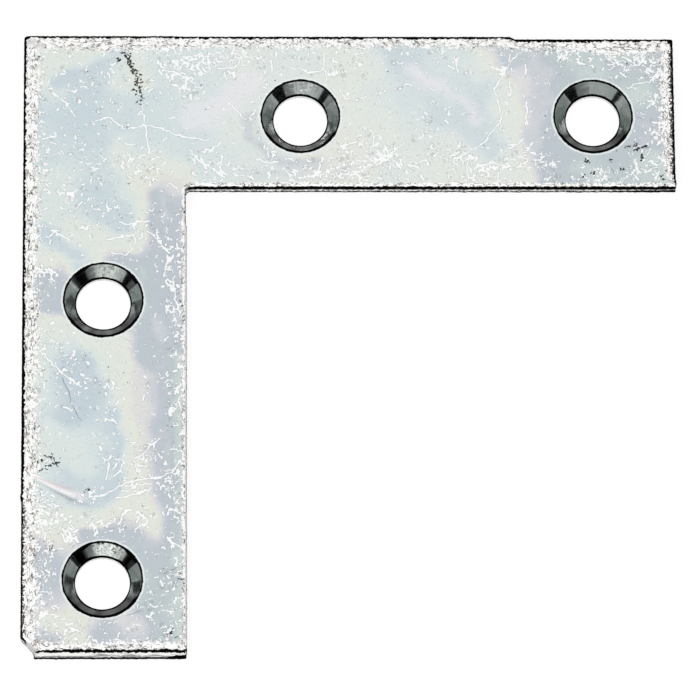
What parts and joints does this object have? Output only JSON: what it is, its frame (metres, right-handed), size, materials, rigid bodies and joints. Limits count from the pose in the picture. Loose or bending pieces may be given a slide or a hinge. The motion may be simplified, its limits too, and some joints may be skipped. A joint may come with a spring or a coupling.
{
  "type": "corner brace bracket",
  "caption": "Flat L-shaped steel corner brace with equal arms and countersunk screw holes, for holding two members at a right angle.",
  "frame": {"origin": "on the back face, where the centre lines of the two arms cross", "axes": "+X along one arm to its end, -Y along the other arm to its end, +Z out of the countersunk face"},
  "size_m": [0.0801, 0.0803, 0.002],
  "materials": {
    "zinc_plated_steel": "bright blue-clear zinc plate with faint pink, yellow and blue patches, fine scratches and specks"
  },
  "bodies": {
    "root": {"corner_plate": "zinc_plated_steel"}
  },
  "joints": []
}
